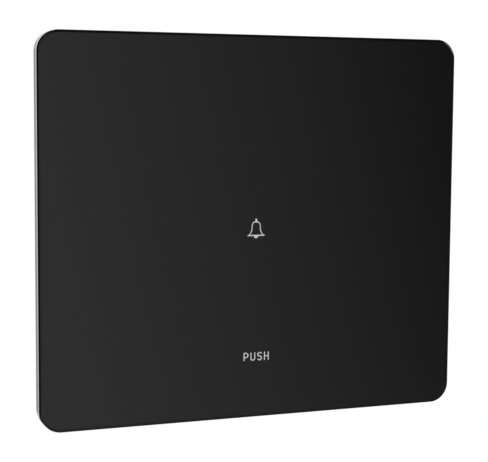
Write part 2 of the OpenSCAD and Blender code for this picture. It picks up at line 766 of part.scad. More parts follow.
// The lamp: a small surface-mounted light with a dished window
module lamp() color("#f1ecd6") translate([0, -lamp_drop]) difference() {
    window_d = lamp_w - 2 * lamp_border;
    between(z_board, z_lamp) square([lamp_l, lamp_w], center = true);
    translate([0, 0, z_lamp - lamp_dish])
        cylinder(h = lamp_dish + join, d1 = window_d - lamp_dish, d2 = window_d);
}

// Two chip resistors in series with the lamp
module chip_resistors() color("#2b2b2b")
    for (s = [-1, 1]) translate([s * chip_pitch / 2, clamp_y + chip_rise])
        between(z_board, z_board + chip_h) square([chip_l, chip_w], center = true);

// The bridge rectifier that feeds the lamp from a bell transformer
module bridge_rectifier() color("#222326") translate([bridge_x, -lamp_drop]) {
    between(z_board, z_board + bridge_h) square([bridge_l, bridge_w], center = true);
    between(z_board, z_board + lead_t) for (s = [-1, 1])
        translate([0, s * lead_pitch / 2]) square([bridge_l + 2 * lead_l, lead_w], center = true);
}

// One side view of a wire entry's mouth, widened downwards to the foot of the block at y = 0
module mouth_side(w) {
    wide = w / 2 + entry_flare;
    polygon([[-wide, -past], [wide, -past], [wide, 0], [w / 2, entry_flare], [-w / 2, entry_flare],
        [-wide, 0]]);
}

// The mouth of a wire entry: a four-sided funnel
module entry_mouth() intersection() {
    linear_extrude(entry_d + 2 * entry_flare, center = true) mouth_side(entry_w);
    rotate([0, 90, 0]) linear_extrude(entry_w + 2 * entry_flare, center = true) mouth_side(entry_d);
}

// One terminal's hollow in the block: screw well, clamp pocket, wire entry and solder pin hole
module terminal_hollow() {
    foot = block_foot - clamp_y;
    round_between(z_back - past, z_clamp_back, terminal_head_d + 2 * slide_gap);
    between(z_clamp_back - fit_gap, z_clamp_front + fit_gap)
        square([clamp_w + 2 * fit_gap, clamp_l + 2 * fit_gap], center = true);
    between(z_clamp_open, z_clamp_wall)
        translate([-entry_w / 2, foot]) square([entry_w, -foot]);
    translate([0, foot, (z_clamp_open + z_clamp_wall) / 2]) entry_mouth();
    round_between(z_clamp_front, z_board_back + past, pin_d + 2 * fit_gap);
}

// The terminal block, with two wire entries at its foot and two screw wells at its back
module terminal_block() color("#8f9498") difference() {
    between(z_back, z_board_back) block_outline(0);
    at(TERMINALS) terminal_hollow();
}

// The cage clamps that grip the wires, with their solder pins
module terminal_clamps() color("#d4d0c4") at(TERMINALS) {
    difference() {
        between(z_clamp_back, z_clamp_front) square([clamp_w, clamp_l], center = true);
        between(z_clamp_open, z_clamp_wall) square([entry_w, clamp_l + past], center = true);
        round_between(z_clamp_back - past, z_clamp_open + join, terminal_screw_d + 2 * fit_gap);
    }
    round_between(z_clamp_front - join, z_board + pin_proud, pin_d);
}

// The slotted terminal screws
module terminal_screws() color("#d9d9d2") at(TERMINALS) difference() {
    union() {
        round_between(z_terminal_head, z_terminal_neck, terminal_head_d);
        round_between(z_terminal_neck - join, z_terminal_neck + terminal_screw_l, terminal_screw_d);
    }
    between(z_terminal_head - past, z_terminal_head + driver_depth)
        square([terminal_head_d + past, driver_slot], center = true);
}

on_wall() front_glass();
on_wall() bonding_tape();
on_wall() rim_frame();
on_wall() key_carrier();
on_wall() light_guide();
on_wall() base_housing();
on_wall() guide_bushes();
on_wall() return_springs();
on_wall() bumpers();
on_wall() rear_cover();
on_wall() cover_screws();
on_wall() circuit_board();
on_wall() board_screws();
on_wall() switch_body();
on_wall() switch_cover();
on_wall() switch_plunger();
on_wall() plunger_spring();
on_wall() contact_disc();
on_wall() contact_studs();
on_wall() switch_pins();
on_wall() lamp();
on_wall() chip_resistors();
on_wall() bridge_rectifier();
on_wall() terminal_block();
on_wall() terminal_clamps();
on_wall() terminal_screws();
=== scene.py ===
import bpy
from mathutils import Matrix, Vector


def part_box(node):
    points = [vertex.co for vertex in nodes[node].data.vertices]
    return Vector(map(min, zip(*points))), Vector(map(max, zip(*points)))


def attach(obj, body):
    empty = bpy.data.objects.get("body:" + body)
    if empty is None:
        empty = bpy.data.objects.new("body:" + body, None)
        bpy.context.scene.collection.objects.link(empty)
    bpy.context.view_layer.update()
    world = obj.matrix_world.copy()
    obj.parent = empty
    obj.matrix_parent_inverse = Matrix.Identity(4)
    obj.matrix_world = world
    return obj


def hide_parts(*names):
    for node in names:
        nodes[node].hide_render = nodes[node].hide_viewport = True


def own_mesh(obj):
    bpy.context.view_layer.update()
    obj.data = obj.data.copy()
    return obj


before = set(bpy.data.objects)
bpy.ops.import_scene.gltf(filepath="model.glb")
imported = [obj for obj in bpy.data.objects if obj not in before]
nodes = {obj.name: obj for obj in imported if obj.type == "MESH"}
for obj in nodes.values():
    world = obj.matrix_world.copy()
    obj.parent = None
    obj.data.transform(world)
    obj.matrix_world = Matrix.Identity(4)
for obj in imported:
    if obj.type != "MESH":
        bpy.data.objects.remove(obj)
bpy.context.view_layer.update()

from math import pi, radians

import bpy
import numpy as np
from mathutils import Matrix, Vector


# Base housing: the low tray that lies on the wall, and the chamber behind it that goes into the wall box.
# One moulding in dark grey ABS, with the fine grain of a spark-eroded tool and edges that handling has
# rubbed a little smoother and lighter. Two screws of the wall box hold it through its slots.

mm = 0.001


def put(tree, kind, inputs=None, **settings):
    """Adds one shader node. Settings are its own switches; an input takes a value or a socket to link."""
    node = tree.nodes.new("ShaderNode" + kind)
    for name, value in settings.items():
        setattr(node, name, value)
    for name, value in (inputs or {}).items():
        if isinstance(value, bpy.types.NodeSocket):
            tree.links.new(value, node.inputs[name])
        else:
            node.inputs[name].default_value = value
    return node


def effect(name, vectors, values, outputs):
    """A shader node group with vector inputs, float inputs with their defaults, and float outputs."""
    group = bpy.data.node_groups.new(name, "ShaderNodeTree")
    for socket in vectors:
        group.interface.new_socket(socket, in_out="INPUT", socket_type="NodeSocketVector")
    for socket, default in values.items():
        made = group.interface.new_socket(socket, in_out="INPUT", socket_type="NodeSocketFloat")
        made.default_value = default
    for socket in outputs:
        group.interface.new_socket(socket, in_out="OUTPUT", socket_type="NodeSocketFloat")
    return group, group.nodes.new("NodeGroupInput"), group.nodes.new("NodeGroupOutput")


def finish(name, **plain):
    """A finish with one Principled shader. Values that are even all over go straight on its own sockets."""
    material = bpy.data.materials.new(name)
    material.use_nodes = True
    skin = material.node_tree.nodes["Principled BSDF"]
    for socket, value in plain.items():
        skin.inputs[socket.replace("_", " ")].default_value = value
    return material, material.node_tree, skin


def feed(tree, skin, **sources):
    """Links values that change over the surface to the named sockets of a shader or of a group's end."""
    for socket, source in sources.items():
        tree.links.new(source, skin.inputs[socket.replace("_", " ")])


def own_place(tree):
    """Where a point lies in the piece's own frame."""
    return put(tree, "TexCoord").outputs["Object"]


def noise(tree, place, scale, **more):
    """Soft noise of so many waves to a metre."""
    return put(tree, "TexNoise", {"Vector": place, "Scale": scale, **more}).outputs[0]


def reckon(tree, operation, *values, **settings):
    """One step of arithmetic on values or sockets."""
    return put(tree, "Math", dict(enumerate(values)), operation=operation, **settings).outputs[0]


def mask_of(tree, value, none, full, **settings):
    """A mask that is 0 where the value is at none, 1 where it is at full, and runs between them."""
    ends = {"Value": value, "From Min": none, "From Max": full}
    return put(tree, "MapRange", ends, **settings).outputs["Result"]


def spread(tree, mask, low, high):
    """A value that goes from low to high as the mask goes from 0 to 1."""
    return put(tree, "MapRange", {"Value": mask, "To Min": low, "To Max": high}).outputs["Result"]


def tones(tree, mask, dark, light):
    """A colour that goes from dark to light as the mask goes from 0 to 1."""
    ramp = put(tree, "ValToRGB", {"Fac": mask})
    first, last = ramp.color_ramp.elements
    first.color, last.color = (*dark, 1.0), (*light, 1.0)
    return ramp.outputs["Color"]


def painted(tree, mask, under, over):
    """One colour over another where the mask is 1."""
    return put(tree, "MixRGB", {"Fac": mask, "Color1": under, "Color2": over}).outputs["Color"]


def raised(tree, height, strength, depth, **more):
    """A normal that follows a height as a bump of the given depth."""
    bump = put(tree, "Bump", {"Height": height, "Strength": strength, "Distance": depth, **more})
    return bump.outputs["Normal"]


def dress(piece, *materials):
    """Gives a piece its finishes, in the order of its material slots. A new piece has no slots to clear,
    and its faces keep the ones that they were made with."""
    slots = piece.data.materials
    if len(slots):
        slots.clear()
    for material in materials:
        slots.append(material)


# Grain of a spark-eroded mould: fine noise for the height, and noise fifty times wider for the tone.
mould_grain, ends_in, ends_out = effect("mould_grain", ["Place"], {"Scale": 4000.0}, ["Height", "Tone"])
place, scale = ends_in.outputs["Place"], ends_in.outputs["Scale"]
wide_share = 0.02
fine = noise(mould_grain, place, scale, Detail=2.0, Roughness=0.6)
wide_scale = reckon(mould_grain, "MULTIPLY", scale, wide_share)
wide = noise(mould_grain, place, wide_scale, Detail=4.0, Roughness=0.55)
feed(mould_grain, ends_out, Height=fine, Tone=wide)

# Rub along edges: how far the surface turns within a small radius, from 0 on a flat to 1 on an edge.
edge_rub, ends_in, ends_out = effect("edge_rub", [], {"Radius": 0.0004}, ["Mask"])
flat_cosine, edge_cosine = 0.98, 0.75
turned = put(edge_rub, "Bevel", {"Radius": ends_in.outputs["Radius"]}, samples=4)
facing = put(edge_rub, "NewGeometry")
same = put(edge_rub, "VectorMath", {0: turned.outputs["Normal"], 1: facing.outputs["Normal"]},
           operation="DOT_PRODUCT")
feed(edge_rub, ends_out, Mask=mask_of(edge_rub, same.outputs["Value"], flat_cosine, edge_cosine))


def moulding(name, dark, light, rough, grain_height, scale=4000.0, rub_light=1.35, **plain):
    """Moulded plastic: tone from dark to light, grain as a bump, and edges rubbed lighter and smoother."""
    rub_r, edge_r = 0.35 * mm, 0.2 * mm
    uneven, polish = 0.06, 0.12
    material, tree, skin = finish(name, **plain)
    grain = put(tree, "Group", {"Place": own_place(tree), "Scale": scale}, node_tree=mould_grain)
    rubbed = put(tree, "Group", {"Radius": rub_r}, node_tree=edge_rub).outputs["Mask"]
    body = tones(tree, grain.outputs["Tone"], dark, light)
    worn = (*(min(1.0, c * rub_light) for c in light), 1.0)
    matt = spread(tree, grain.outputs["Tone"], rough + uneven, rough - uneven)
    smooth = reckon(tree, "MULTIPLY", rubbed, -polish)
    rounded = put(tree, "Bevel", {"Radius": edge_r}, samples=4).outputs["Normal"]
    feed(tree, skin, Base_Color=painted(tree, rubbed, body, worn),
         Roughness=reckon(tree, "ADD", matt, smooth, use_clamp=True),
         Normal=raised(tree, grain.outputs["Height"], 0.6, grain_height, Normal=rounded))
    return material


dark_grey_abs = moulding("dark_grey_abs", (0.034, 0.035, 0.039), (0.047, 0.049, 0.054), rough=0.52,
                         grain_height=0.03 * mm)
dress(nodes["base_housing"], dark_grey_abs)


# Guide bushes: four flanged acetal sleeves pressed into the base, in which the posts of the plate slide.
# Turned from natural white rod, so a waxy off-white with a faint lathe sheen.

white_acetal = moulding("white_acetal", (0.74, 0.73, 0.69), (0.82, 0.81, 0.77), rough=0.36,
                        grain_height=0.006 * mm, scale=2500.0, rub_light=1.05)
dress(nodes["guide_bushes"], white_acetal)


# Bumpers: four soft silicone pads, pushed into seats in the base's floor, that stop the plate without a
# click. Each is a disc with a rounded upper edge, grey and a little dusty.

def put_in_scene(name, data):
    """A new object at the origin, in the scene."""
    made = bpy.data.objects.new(name, data)
    bpy.context.scene.collection.objects.link(made)
    return made


def from_grid(name, grid, closed=False, sharp=35, sides=None):
    """A piece from grids of points, grid[copy, row, column], in which each row is a closed ring. The rows
    follow a profile that comes back to its start if closed; otherwise the first and last rings are filled to
    their middles. The map 'surface' holds the lengths along a ring and along the profile. Sides gives each
    row's slot."""
    grid = np.asarray(grid, float)
    grid = grid if grid.ndim == 4 else grid[None]
    copies, rows, columns = grid.shape[:3]
    sides = np.zeros(rows, int) if sides is None else np.asarray(sides)
    index = np.arange(copies * rows * columns).reshape(copies, rows, columns)
    last = rows if closed else rows - 1
    below, above = index[:, :last], np.roll(index, -1, 1)[:, :last]
    quads = np.stack([below, np.roll(below, -1, 2), np.roll(above, -1, 2), above], -1)
    points, faces = grid.reshape(-1, 3), quads.reshape(-1, 4).tolist()
    slots = np.broadcast_to(sides[:last, None], quads.shape[:3]).ravel()
    ring = np.linalg.norm(np.roll(grid[0], -1, 1) - grid[0], axis=-1).max(0)
    climb = np.linalg.norm(np.roll(grid[0], -1, 0) - grid[0], axis=-1).min(1)
    along, rise = np.r_[0, np.cumsum(ring)], np.r_[0, np.cumsum(climb)]
    u = np.stack([along[:-1], along[1:], along[1:], along[:-1]], -1)[None, None]
    v = np.stack([rise[:last], rise[:last], rise[1:last + 1], rise[1:last + 1]], -1)[None, :, None]
    uv = np.stack(np.broadcast_arrays(u, v, np.zeros_like(quads, float))[:2], -1).reshape(-1, 2)
    if not closed:
        middles = grid[:, [0, -1]].mean(2).reshape(-1, 3)
        hub = len(points) + np.arange(2 * copies).reshape(copies, 2, 1)
        points = np.r_[points, middles]
        first, end = index[:, 0], index[:, -1]
        hub_a, hub_b = (np.broadcast_to(hub[:, i], first.shape) for i in (0, 1))
        fans = np.stack([np.stack([hub_a, np.roll(first, -1, 1), first], -1),
                         np.stack([hub_b, end, np.roll(end, -1, 1)], -1)])
        faces += fans.reshape(-1, 3).tolist()
        uv = np.r_[uv, points[fans.reshape(-1)][:, [0, 2]]]
        slots = np.r_[slots, np.repeat(sides[[0, -1]], copies * columns)]
    mesh = bpy.data.meshes.new(name)
    mesh.from_pydata(points, [], faces)
    mesh.uv_layers.new(name="surface").uv.foreach_set("vector", uv.ravel().astype(np.float32))
    mesh.polygons.foreach_set("material_index", slots.astype(np.int32))
    mesh.shade_smooth()
    mesh.set_sharp_from_angle(angle=radians(sharp))
    mesh.calc_loop_triangles()
    triangles = np.zeros(3 * len(mesh.loop_triangles), np.int32)
    mesh.loop_triangles.foreach_get("vertices", triangles)
    a, b, c = points[triangles].reshape(-1, 3, 3).transpose(1, 0, 2)
    if np.einsum("ij,ij->i", a, np.cross(b, c)).sum() < 0:
        mesh.flip_normals()
    return put_in_scene(name, mesh)


def at_each(centres, rows):
    """Rows of points about the push axis, copied to each centre (x, z)."""
    x, z = np.array(centres, float).T
    return rows + np.stack([x, 0 * x, z], -1)[:, None, None]


def turned_rings(profile, centres, columns=48):
    """A profile of (radius, depth) turned about the push axis at each centre: (r cos a, depth, r sin a)."""
    radius, depth = np.asarray(profile, float).T[..., None]
    a = 2 * pi * np.arange(columns) / columns
    rows = np.stack(np.broadcast_arrays(radius * np.cos(a), depth, radius * np.sin(a)), -1)
    return at_each(centres, rows)


def four_ways(x, z):
    """The four places (+-x, +-z) round the middle of the plate."""
    return [(sx * x, sz * z) for sx in (-1, 1) for sz in (-1, 1)]


def stands_for(piece, node, body):
    """Puts a new piece in a node's place, on that node's body, and hides the node."""
    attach(piece, body)
    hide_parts(node)


low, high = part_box("bumpers")
pad_top, pad_foot = low.y, high.y
pad_r, pad_round, pad_break = 2.45 * mm, 0.5 * mm, 0.2 * mm
bend = np.linspace(0, pi / 2, 7)
pad_flat = pad_r - pad_round
pad_profile = np.r_[
    [(pad_r - pad_break, pad_foot), (pad_r, pad_foot - pad_break)],
    np.stack([pad_flat + pad_round * np.cos(bend), pad_top + pad_round - pad_round * np.sin(bend)], -1),
    [(pad_flat - pad_break, pad_top)]]
bumpers = from_grid("bumper_pads", turned_rings(pad_profile, four_ways(high.x - pad_r, high.z - pad_r)))
grey_silicone = moulding("grey_silicone", (0.25, 0.26, 0.27), (0.33, 0.34, 0.35), rough=0.46,
                         grain_height=0.004 * mm, scale=1500.0, rub_light=1.1)
dress(bumpers, grey_silicone)
stands_for(bumpers, "bumpers", "housing")


# Circuit board: a cross of glass-fibre laminate with a green solder mask, tracks on both faces under it and
# bare, yellowish sawn edges. It stands on two posts of the base and carries the switch, lamp and terminals.

laminate, tree, skin = finish("board_laminate", Specular_IOR_Level=0.45)
place = own_place(tree)
cell_scale, tracks_to_cell = 230.0, 9.0
cells = put(tree, "TexVoronoi", {"Vector": place, "Scale": cell_scale}, distance="MANHATTAN", feature="F1")
bands = reckon(tree, "FRACT", reckon(tree, "MULTIPLY", cells.outputs["Distance"], tracks_to_cell))
copper = mask_of(tree, bands, 0.42, 0.5)
weave = noise(tree, place, 1800.0, Detail=2.0)
mask_green = tones(tree, weave, (0.010, 0.075, 0.030), (0.014, 0.100, 0.040))
over_copper = painted(tree, copper, mask_green, (0.030, 0.170, 0.060, 1.0))
facing = put(tree, "SeparateXYZ", {0: put(tree, "NewGeometry").outputs["Normal"]})
sawn = mask_of(tree, reckon(tree, "ABSOLUTE", facing.outputs["Y"]), 0.6, 0.4)
edge_of_board = tones(tree, weave, (0.30, 0.27, 0.13), (0.42, 0.38, 0.20))
feed(tree, skin, Base_Color=painted(tree, sawn, over_copper, edge_of_board),
     Roughness=spread(tree, sawn, 0.3, 0.75), Normal=raised(tree, copper, 0.5, 0.03 * mm))
dress(nodes["circuit_board"], laminate)


# Switch: a square body of glass-filled black nylon with a well, a steel cover staked over it, an ivory
# plunger whose shoulder is held in under that cover, a short spring, and a plated disc under the plunger
# that comes down on two contacts in the floor. Four tinned pins are soldered into the board.

black_nylon = moulding("black_nylon", (0.010, 0.010, 0.011), (0.022, 0.022, 0.024), rough=0.5,
                       grain_height=0.02 * mm, scale=5000.0, rub_light=1.6)
dress(nodes["switch_body"], black_nylon)
ivory = moulding("ivory_plastic", (0.66, 0.63, 0.54), (0.73, 0.70, 0.61), rough=0.4,
                 grain_height=0.004 * mm, scale=2500.0, rub_light=1.05)
dress(nodes["switch_plunger"], ivory)

# Lines left by rolling, brushing or drawing: noise stretched along one direction of the given place.
drawn_lines, ends_in, ends_out = effect("drawn_lines", ["Place"], {"Along": 60.0, "Across": 9000.0},
                                        ["Height", "Tone"])
place, across = ends_in.outputs["Place"], ends_in.outputs["Across"]
stretch = put(drawn_lines, "CombineXYZ", {"X": ends_in.outputs["Along"], "Y": across, "Z": across})
drawn = put(drawn_lines, "VectorMath", {0: place, 1: stretch.outputs[0]}, operation="MULTIPLY")
feed(drawn_lines, ends_out, Height=noise(drawn_lines, drawn.outputs[0], 1.0, Detail=3.0, Roughness=0.65),
     Tone=noise(drawn_lines, place, 140.0, Detail=3.0))


def bare_metal(name, dark, light, rough, along, across, depth, mapped=True):
    """Worked metal: tone in soft patches, and fine lines that shift its roughness and stand as a bump."""
    uneven = 0.07
    material, tree, skin = finish(name, Metallic=1.0)
    where = put(tree, "TexCoord").outputs["UV" if mapped else "Object"]
    worked = put(tree, "Group", {"Place": where, "Along": along, "Across": across}, node_tree=drawn_lines)
    height = worked.outputs["Height"]
    feed(tree, skin, Base_Color=tones(tree, worked.outputs["Tone"], dark, light),
         Roughness=spread(tree, height, rough - uneven, rough + uneven),
         Normal=raised(tree, height, 0.35, depth))
    return material


tinned_steel = bare_metal("tinned_steel", (0.60, 0.60, 0.59), (0.70, 0.70, 0.69), rough=0.34, along=80.0,
                          across=6000.0, depth=0.004 * mm, mapped=False)
dress(nodes["switch_cover"], tinned_steel)
dress(nodes["switch_pins"], tinned_steel)
nickel_brass = bare_metal("nickel_brass", (0.60, 0.56, 0.48), (0.70, 0.66, 0.58), rough=0.3, along=6000.0,
                          across=100.0, depth=0.003 * mm, mapped=False)
dress(nodes["contact_disc"], nickel_brass)
dress(nodes["contact_studs"], nickel_brass)


def coil_rings(coil_r, wire, start, end, turns, closed_turns, centres, sides=10, steps=28):
    """Round wire carried along a helix: (R cos a, depth(a), R sin a), where the depth runs from start to
    end, by little more than one wire for each closed turn at the ends and evenly over the turns between."""
    closed_pitch = 1.04 * wire
    t = np.linspace(0, turns, int(turns * steps) + 1)
    sign = np.sign(end - start)
    run = abs(end - start) - wire
    dead = closed_pitch * closed_turns
    rise = np.interp(t, [0, closed_turns, turns - closed_turns, turns], [0, dead, run - dead, run])
    a = 2 * pi * t
    out = np.stack([np.cos(a), 0 * a, np.sin(a)], -1)
    path = coil_r * out + (start + sign * (wire / 2 + rise))[:, None] * np.array([0.0, 1.0, 0.0])
    tangent = np.gradient(path, axis=0)
    tangent /= np.linalg.norm(tangent, axis=1, keepdims=True)
    up = np.cross(tangent, out)
    p = 2 * pi * np.arange(sides)[:, None] / sides
    return at_each(centres, path[:, None] + wire / 2 * (out[:, None] * np.cos(p) + up[:, None] * np.sin(p)))


def spring(name, node, coil_r, wire, turns, closed_turns, centres):
    """A coil spring in a node's place, wound at one length from the node's front to its back."""
    low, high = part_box(node)
    rings = coil_rings(coil_r, wire, high.y, low.y, turns, closed_turns, centres)
    made = from_grid(name, rings, sharp=60)
    dress(made, spring_steel)
    stands_for(made, node, "housing")
    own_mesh(made)


spring_steel = bare_metal("spring_steel", (0.46, 0.46, 0.47), (0.60, 0.60, 0.62), rough=0.27, along=9000.0,
                          across=300.0, depth=0.002 * mm)
low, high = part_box("plunger_spring")
plunger_wire = 0.4 * mm
plunger_coil_r = (high.x - low.x - plunger_wire) / 2
plunger_middle = ((high.x + low.x) / 2, (high.z + low.z) / 2)
spring("plunger_coil", "plunger_spring", plunger_coil_r, plunger_wire, turns=3,
       closed_turns=0.7, centres=[plunger_middle])


# Lamp circuit: a small surface-mounted lamp with a yellow window in a white case, two chip resistors with
# tinned ends, and a rectifier in black epoxy with tinned leads, all soldered to the front of the board.

low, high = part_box("lamp")
lamp_middle = ((low.x + high.x) / 2, 0, (low.z + high.z) / 2)
lamp_window_r, window_blur = 1.15 * mm, 0.05 * mm
lamp_case, tree, skin = finish("lamp_case", Roughness=0.35)
place = own_place(tree)
flat = put(tree, "VectorMath", {0: place, 1: (1, 0, 1)}, operation="MULTIPLY")
apart = put(tree, "VectorMath", {0: flat.outputs[0], 1: lamp_middle}, operation="DISTANCE")
window = mask_of(tree, apart.outputs["Value"], lamp_window_r + window_blur, lamp_window_r - window_blur)
grains = noise(tree, place, 6000.0)
case_white = tones(tree, grains, (0.78, 0.77, 0.74), (0.86, 0.85, 0.82))
phosphor = tones(tree, grains, (0.78, 0.62, 0.10), (0.86, 0.72, 0.20))
feed(tree, skin, Base_Color=painted(tree, window, case_white, phosphor))
dress(nodes["lamp"], lamp_case)


def black_case(name, middle_x, half_body, in_pair=False):
    """Black case with tinned ends: metal where a point lies further along X than half_body from the case's
    middle. Cases in a pair lie at middle_x on either side of the plate's middle."""
    blur = 0.02 * mm
    material, tree, skin = finish(name)
    place = own_place(tree)
    across = put(tree, "SeparateXYZ", {0: place}).outputs["X"]
    if in_pair:
        across = reckon(tree, "ABSOLUTE", across)
    apart = reckon(tree, "ABSOLUTE", reckon(tree, "SUBTRACT", across, middle_x))
    tinned = mask_of(tree, apart, half_body - blur, half_body + blur)
    grain = put(tree, "Group", {"Place": place, "Scale": 6000.0}, node_tree=mould_grain).outputs["Height"]
    body = tones(tree, grain, (0.010, 0.010, 0.011), (0.024, 0.024, 0.026))
    feed(tree, skin, Base_Color=painted(tree, tinned, body, (0.66, 0.66, 0.65, 1.0)), Metallic=tinned,
         Roughness=spread(tree, tinned, 0.55, 0.3), Normal=raised(tree, grain, 0.5, 0.01 * mm))
    return material


low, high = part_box("chip_resistors")
chip_half, chip_body = 1.6 * mm, 1.15 * mm
dress(nodes["chip_resistors"], black_case("chip_case", high.x - chip_half, chip_body, in_pair=True))
low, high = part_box("bridge_rectifier")
bridge_body = 2.4 * mm
dress(nodes["bridge_rectifier"], black_case("rectifier_case", (low.x + high.x) / 2, bridge_body))


# Terminals: a grey nylon block with two wire entries at its foot, a nickelled brass cage clamp in each, and
# slotted, zinc-plated screws in wells that open at the back.

grey_nylon = moulding("grey_nylon", (0.25, 0.26, 0.275), (0.31, 0.32, 0.335), rough=0.48,
                      grain_height=0.015 * mm, scale=4500.0, rub_light=1.2)
dress(nodes["terminal_block"], grey_nylon)
dress(nodes["terminal_clamps"], nickel_brass)


def screw_rings(profile, face, centres, blades, slot_w, reach, recess, pitch, columns=40):
    """Screws as rings about their axes at each centre, along a profile of (radius, depth below the face,
    bite). A ring within reach and above the recess's floor carries blades: one of half width w meets a ring
    of radius r at the angles +-asin(w / r), and between them the ring drops to the floor. The bite is the
    height of the thread's ridge, which rises and falls with the fraction of depth / pitch - angle / 2 pi."""
    blade_points, widest, floor_share, flank = 4, 0.97, 0.85, 0.32
    radius, level, bite = np.asarray(profile, float).T[..., None]
    per = columns // blades
    part = np.arange(columns) % per
    turn = 2 * pi / blades * (np.arange(columns) // per)
    in_blade = part < blade_points
    most = np.sin(pi / blades)
    wall = np.arcsin(np.minimum(slot_w / 2 / radius, widest * most))
    blade_a = floor_share * wall * (part * 2 / (blade_points - 1) - 1)
    land_a = wall + (2 * pi / blades - 2 * wall) * (part - blade_points) / (per - blade_points - 1)
    even_a = 2 * pi / columns * (part - (blade_points - 1) / 2)
    cut = (radius < reach) & (level < recess)
    a = turn + np.where(cut, np.where(in_blade, blade_a, land_a), even_a)
    depth = np.where(cut & (in_blade | (radius < slot_w / 2 / most)), recess, level)
    ridge = np.clip(1 - abs((level / pitch - a / (2 * pi)) % 1 - 0.5) / flank, 0, 1)
    r = radius + bite * ridge
    return at_each(centres, np.stack([r * np.cos(a), face - depth, r * np.sin(a)], -1))


def head_face(slot_w, blades, end):
    """Rows of a screw's face in mm: round the middle of its recess, and along the blades to their end."""
    middle = slot_w / 2 / np.sin(pi / blades)
    round_middle = np.array([0.3, 0.97, 1.06])
    radius = np.r_[middle * round_middle, np.linspace(middle, end, 4)[2:]]
    return np.stack([radius, 0 * radius, 0 * radius], -1)


def threaded(core, major, start, end, pitch):
    """Rows of a thread, eight to a pitch, in mm. Its ridge grows and fades over one pitch at the ends."""
    level = np.arange(start, end, pitch / 8)
    bite = (major - core) * np.clip(np.minimum(level - start, end - level) / pitch, 0, 1)
    return np.stack([np.full_like(level, core), level, bite], -1)


def zinc_screws(name, node, profile, centres, blades, slot_w, reach, pitch):
    """Screws of one profile in a node's place, with their faces at its back. Lengths are in mm."""
    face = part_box(node)[1].y
    rings = screw_rings(profile * mm, face, centres, blades, slot_w * mm, reach * mm, driver_depth * mm,
                        pitch * mm)
    made = from_grid(name, rings, sharp=30)
    dress(made, zinc_plate)
    stands_for(made, node, "housing")


zinc_plate = bare_metal("zinc_plate", (0.58, 0.59, 0.57), (0.70, 0.70, 0.66), rough=0.36, along=200.0,
                        across=7000.0, depth=0.003 * mm)
low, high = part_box("terminal_screws")
clamp_head_r, clamp_head_h, clamp_slot, driver_depth = 2.0, 1.8, 0.7, 0.8
clamp_core_r, clamp_thread_r, clamp_l, fine_pitch = 1.22, 1.5, 5.0, 0.5
bevel, hair = 0.15, 0.01
clamp_profile = np.r_[
    head_face(clamp_slot, 2, clamp_head_r - bevel),
    [(clamp_head_r, bevel, 0), (clamp_head_r, driver_depth - hair, 0),
     (clamp_head_r, driver_depth + hair, 0), (clamp_head_r, clamp_head_h - bevel / 2, 0),
     (clamp_head_r - bevel / 2, clamp_head_h, 0), (clamp_thread_r, clamp_head_h, 0)],
    threaded(clamp_core_r, clamp_thread_r, clamp_head_h + 2 * hair, clamp_l - 2 * bevel, fine_pitch),
    [(clamp_core_r, clamp_l - 2 * bevel + 2 * hair, 0), (clamp_core_r - bevel, clamp_l, 0)]]
clamp_x, clamp_z = high.x - clamp_head_r * mm, (low.z + high.z) / 2
clamp_places = [(-clamp_x, clamp_z), (clamp_x, clamp_z)]
zinc_screws("clamp_screws", "terminal_screws", clamp_profile, clamp_places, blades=2, slot_w=clamp_slot,
            reach=2 * clamp_head_r, pitch=fine_pitch)


# Solder joints: a cone of tin solder drawn up round each pin from its pad on the board. The switch's four
# pins are soldered at the back of the board, and the terminals' two pins at its front.

def solder_cones(pin_r, board_face, outward, centres):
    """Solder round pins: from the pad to the pin the radius falls as (1 - s)^2 while the depth goes out from
    the board. The rows always run towards the back, so that all cones face alike."""
    s = np.linspace(0, 1, 7)[::outward]
    radius = pin_r + (solder_r - pin_r) * (1 - s) ** 2
    return turned_rings(np.stack([radius, board_face + outward * cone_h * s], -1), centres, columns=24)


low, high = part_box("switch_pins")
board_front, board_back = (corner.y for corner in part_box("circuit_board"))
switch_pin_r, clamp_pin_r, solder_r, cone_h = 0.5 * mm, 0.6 * mm, 1.2 * mm, 0.7 * mm
pin_x, pin_z = high.x - switch_pin_r, (high.z - low.z) / 2 - switch_pin_r
pin_middle = (high.z + low.z) / 2
pin_places = [(x, z + pin_middle) for x, z in four_ways(pin_x, pin_z)]
cones = np.r_[solder_cones(switch_pin_r, board_back, 1, pin_places),
              solder_cones(clamp_pin_r, board_front, -1, clamp_places)]
solder = from_grid("solder_joints", cones, sharp=50)
solder_tin = bare_metal("solder_tin", (0.62, 0.62, 0.61), (0.74, 0.74, 0.73), rough=0.24, along=900.0,
                        across=900.0, depth=0.01 * mm, mapped=False)
dress(solder, solder_tin)
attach(solder, "housing")


# Board screws: two small pan-head screws with a cross recess and a coarse thread that cuts its own way into
# the posts of the base. Zinc-plated steel; they hold the board from behind.

